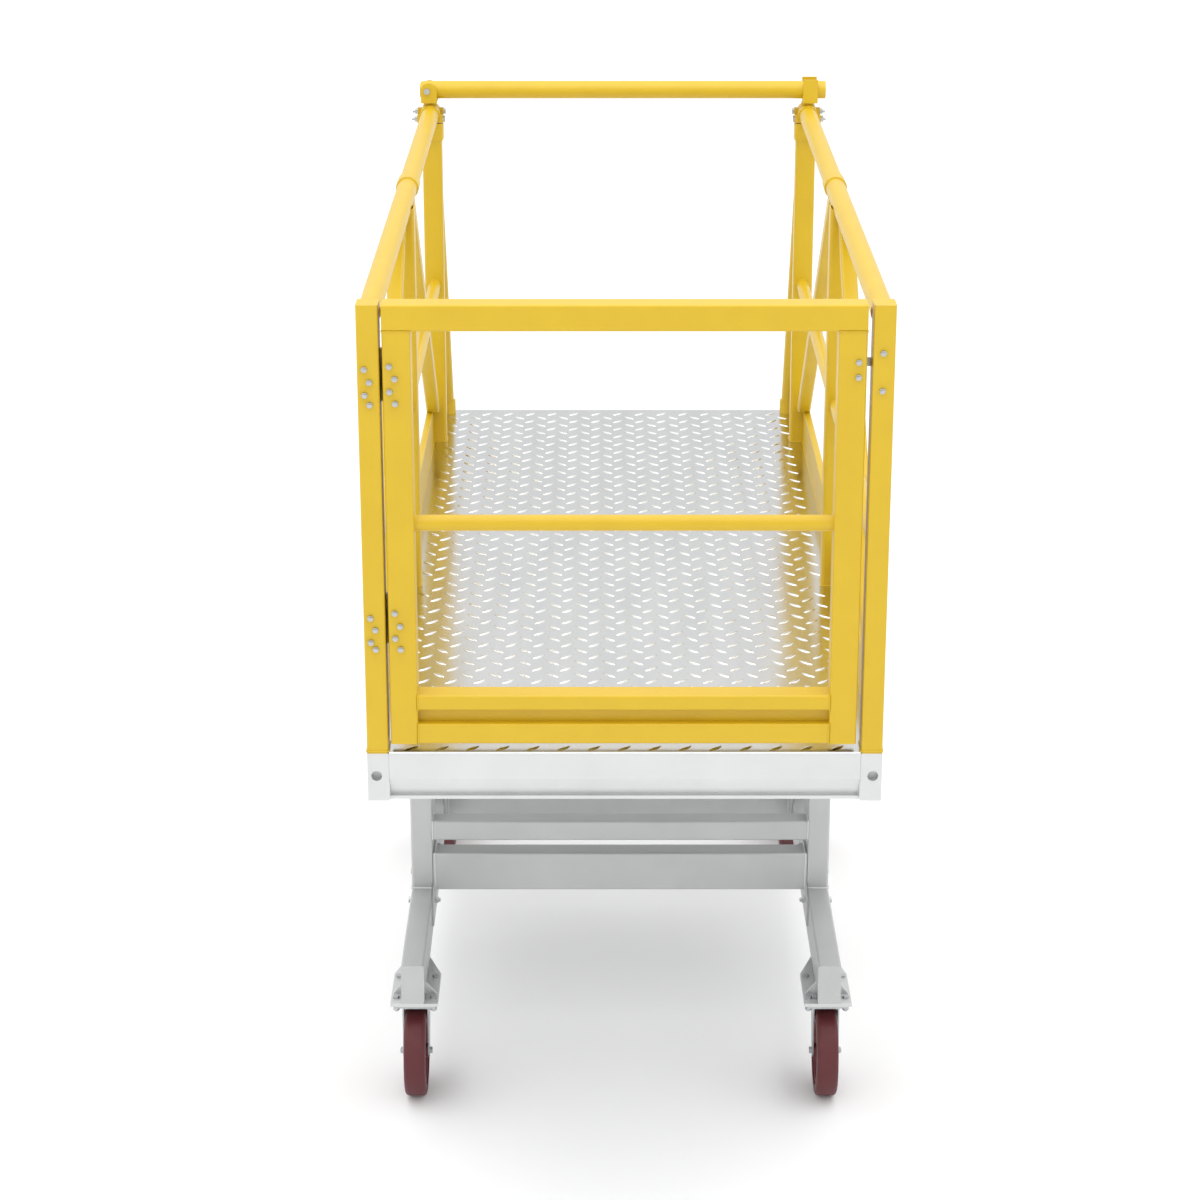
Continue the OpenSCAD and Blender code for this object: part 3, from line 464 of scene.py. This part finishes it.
core_paint, core_shader = new_material("dark red enamel on cast iron", IOR=1.5)
sand = patches(core_paint, 1.6, 3.0)
sags = patches(core_paint, 20.0)
join(core_paint, two_tone(core_paint, sags, "#5B1C20", "#6E2529"), core_shader, "Base Color")
join(core_paint, spread(core_paint, sand, 0.35, 0.55), core_shader, "Roughness")
join(core_paint, relief(core_paint, sand, 0.15, 0.6), core_shader, "Normal")
paint(["hub_" + wheel for wheel in WHEELS], core_paint)


# ---- Gate stop pad ----
# A small moulded nitrile pad on the stop plate that the gate's arm lands on.
# Moulded rubber is near black and dull, with a fine mould grain.

nitrile, nitrile_shader = new_material("moulded nitrile rubber", IOR=1.5)
mould_grain = patches(nitrile, 1.0, 2.0)
join(nitrile, two_tone(nitrile, mould_grain, "#161616", "#232323"), nitrile_shader, "Base Color")
join(nitrile, spread(nitrile, mould_grain, 0.65, 0.85), nitrile_shader, "Roughness")
paint(("stop_pad",), nitrile)


# ---- Floor ----
# A plain pale studio floor, painted matt, far wider than the platform.
# Matt paint gives soft shadows and no clear reflection.

FLOOR_HALF = 200.0
floor_paint, floor_shader = new_material("matt white studio floor", Roughness=0.9)
floor_mottle = patches(floor_paint, 900.0, 2.0)
join(floor_paint, two_tone(floor_paint, floor_mottle, "#F4F4F4", "#F7F7F7"), floor_shader, "Base Color")
floor_mesh = bmesh.new()
bmesh.ops.create_grid(floor_mesh, x_segments=4, y_segments=4, size=FLOOR_HALF)
floor_data = bpy.data.meshes.new("studio_floor")
floor_mesh.to_mesh(floor_data)
floor_mesh.free()
floor_data.materials.append(floor_paint)
floor = bpy.data.objects.new("studio_floor", floor_data)
bpy.context.collection.objects.link(floor)


# ---- Light ----
# A pale studio sky, darkest a little above the horizon and brightest overhead, with a large soft
# box above and a small one in front.
# The plain sRGB view keeps the paint's own colour in the bright parts.

bpy.context.scene.view_settings.view_transform = "Standard"

world = bpy.data.worlds.new("pale studio sky")
bpy.context.scene.world = world
world.use_nodes = True
direction = add_node(world, "ShaderNodeTexCoord")
height = add_node(world, "ShaderNodeSeparateXYZ", {"Vector": direction.outputs["Generated"]})
glow = add_node(world, "ShaderNodeValToRGB", {"Fac": height.outputs["Z"]})
SKY_STRENGTH = 1.55
SKY_STOPS = ((0.10, 0.68), (0.20, 0.50), (0.30, 0.50), (0.75, 1.0))     # sine of elevation, share
stops = glow.color_ramp.elements
stops[0].position, stops[1].position = SKY_STOPS[0][0], SKY_STOPS[-1][0]
for sine, _ in SKY_STOPS[1:-1]:
    stops.new(sine)
for stop, (_, share) in zip(stops, SKY_STOPS):
    stop.color = (share, share, share, 1)
sky = world.node_tree.nodes["Background"]
world.node_tree.links.new(glow.outputs["Color"], sky.inputs["Color"])
sky.inputs["Strength"].default_value = SKY_STRENGTH


def soft_box(name, place, aim, size, power):
    lamp = bpy.data.lights.new(name, "AREA")
    lamp.shape = "RECTANGLE"
    lamp.size, lamp.size_y = size
    lamp.energy = power
    piece = bpy.data.objects.new(name, lamp)
    piece.location = place
    piece.rotation_euler = (Vector(aim) - Vector(place)).to_track_quat("-Z", "Y").to_euler()
    bpy.context.collection.objects.link(piece)


soft_box("overhead_soft_box", (0.0, -1.0, 6.5), (0, 0.2, 1.2), (5.0, 6.0), 110)
soft_box("front_soft_box", (-3.5, -6.0, 4.0), (0, 0, 1.4), (3.0, 3.0), 15)


# ---- Camera ----
# Stands in front of the gate, above the guardrail, and looks down the deck.

camera_data = bpy.data.cameras.new("camera")
camera_data.sensor_width = 36.0
camera_data.lens = 89.7
camera_data.clip_end = 400.0
camera = bpy.data.objects.new("camera", camera_data)
camera.location = (-0.0586, -8.0908, 4.0676)
camera.rotation_euler = (math.radians(90 - 18.985), 0, 0)
bpy.context.collection.objects.link(camera)
bpy.context.scene.camera = camera
